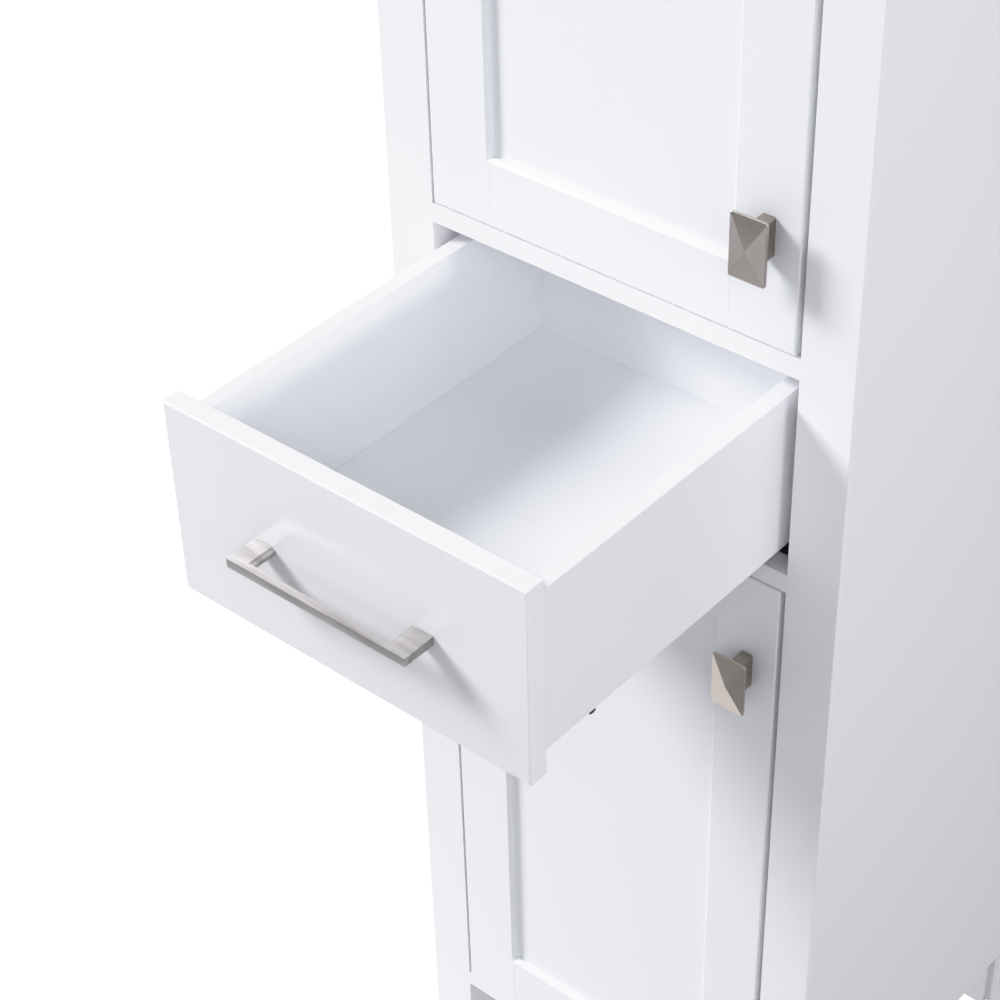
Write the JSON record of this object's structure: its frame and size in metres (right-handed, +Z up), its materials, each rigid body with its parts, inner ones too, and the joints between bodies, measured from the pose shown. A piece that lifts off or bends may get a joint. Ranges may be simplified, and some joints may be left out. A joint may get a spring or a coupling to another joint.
{
  "type": "tall bathroom cabinet",
  "caption": "Tall free-standing bathroom cabinet on corner posts, with a pull-out drawer between an upper and a lower framed door, bar pull and rectangular knobs.",
  "frame": {"origin": "on the floor, under the middle of the box that the cabinet and its pulled-out drawer fill", "axes": "+Z up; -Y towards the user, the way the drawer slides out; +X to the right of someone facing the doors"},
  "size_m": [0.47, 0.8044, 1.826],
  "materials": {
    "white_paint": "satin white paint on board",
    "white_melamine": "fine-grained white melamine",
    "bare_wood": "unfinished",
    "white_nylon": "moulded",
    "dark_plastic": "moulded",
    "satin_nickel": "satin nickel plate",
    "zinc_steel": "zinc plated"
  },
  "bodies": {
    "cabinet": {"front_left_post": "white_paint", "front_right_post": "white_paint", "rear_left_post": "white_paint", "rear_right_post": "white_paint", "left_side_panel": "white_paint", "right_side_panel": "white_paint", "top_panel": "white_paint", "upper_divider": "white_paint", "lower_divider": "white_paint", "bottom_board": "white_paint", "back_panel": "white_melamine", "wall_rail": "white_melamine", "runner_cleats": "bare_wood", "upper_shelf_high": "white_melamine", "upper_shelf_low": "white_melamine", "lower_shelf": "white_melamine", "shelf_pins": "zinc_steel", "carcass_dowels": "bare_wood", "leg_glides": "white_nylon", "door_stops": "white_nylon", "left_runner_cabinet_rail": "zinc_steel", "right_runner_cabinet_rail": "zinc_steel", "hinge_plates": "zinc_steel", "hinge_arms": "zinc_steel", "hardware_screws": "zinc_steel"},
    "runner_middle_rails": {"left_runner_middle_rail": "zinc_steel", "right_runner_middle_rail": "zinc_steel", "runner_glide_blocks": "white_nylon"},
    "drawer": {"drawer_front": "white_paint", "drawer_sub_front": "white_melamine", "drawer_left_side": "white_melamine", "drawer_right_side": "white_melamine", "drawer_back": "white_melamine", "drawer_bottom": "white_melamine", "drawer_pull": "satin_nickel", "pull_screws": "zinc_steel", "drawer_front_screws": "zinc_steel", "left_runner_drawer_rail": "zinc_steel", "right_runner_drawer_rail": "zinc_steel", "runner_clips": "dark_plastic"},
    "upper_door": {"upper_door_left_stile": "white_paint", "upper_door_right_stile": "white_paint", "upper_door_top_rail": "white_paint", "upper_door_bottom_rail": "white_paint", "upper_door_panel": "white_paint", "upper_knob": "satin_nickel", "upper_knob_screw": "zinc_steel", "upper_hinge_cups": "zinc_steel", "upper_cup_screws": "zinc_steel"},
    "upper_hinge_link_set": {"upper_hinge_links": "zinc_steel"},
    "lower_door": {"lower_door_left_stile": "white_paint", "lower_door_right_stile": "white_paint", "lower_door_top_rail": "white_paint", "lower_door_bottom_rail": "white_paint", "lower_door_panel": "white_paint", "lower_knob": "satin_nickel", "lower_knob_screw": "zinc_steel", "lower_hinge_cups": "zinc_steel", "lower_cup_screws": "zinc_steel"},
    "lower_hinge_link_set": {"lower_hinge_links": "zinc_steel"}
  },
  "joints": [
    {"name": "drawer_slide", "type": "slide", "parent": "cabinet", "child": "drawer", "axis": [0, -1, 0], "range_m": [-0.316, 0.084]},
    {"name": "runner_middle_slide", "type": "slide", "parent": "cabinet", "child": "runner_middle_rails", "axis": [0, -1, 0], "range_m": [-0.158, 0.042]},
    {"name": "upper_door_hinge", "type": "hinge", "parent": "cabinet", "child": "upper_door", "pos_m": [-0.1738, -0.04835, 1.4425], "axis": [0, 0, -1], "range_deg": [0, 110]},
    {"name": "upper_link_pivot", "type": "hinge", "parent": "cabinet", "child": "upper_hinge_link_set", "pos_m": [-0.15223, -0.04204, 1.4425], "axis": [0, 0, 1], "range_deg": [0, 17.2]},
    {"name": "lower_door_hinge", "type": "hinge", "parent": "cabinet", "child": "lower_door", "pos_m": [-0.1738, -0.04835, 0.4835], "axis": [0, 0, -1], "range_deg": [0, 110]},
    {"name": "lower_link_pivot", "type": "hinge", "parent": "cabinet", "child": "lower_hinge_link_set", "pos_m": [-0.15223, -0.04204, 0.4835], "axis": [0, 0, 1], "range_deg": [0, 17.2]}
  ],
  "couplings": [
    {"joint": "runner_middle_slide", "follows": "drawer_slide", "ratio": 0.5},
    {"joint": "upper_link_pivot", "follows": "upper_door_hinge", "ratio": 0.155},
    {"joint": "lower_link_pivot", "follows": "lower_door_hinge", "ratio": 0.155}
  ]
}
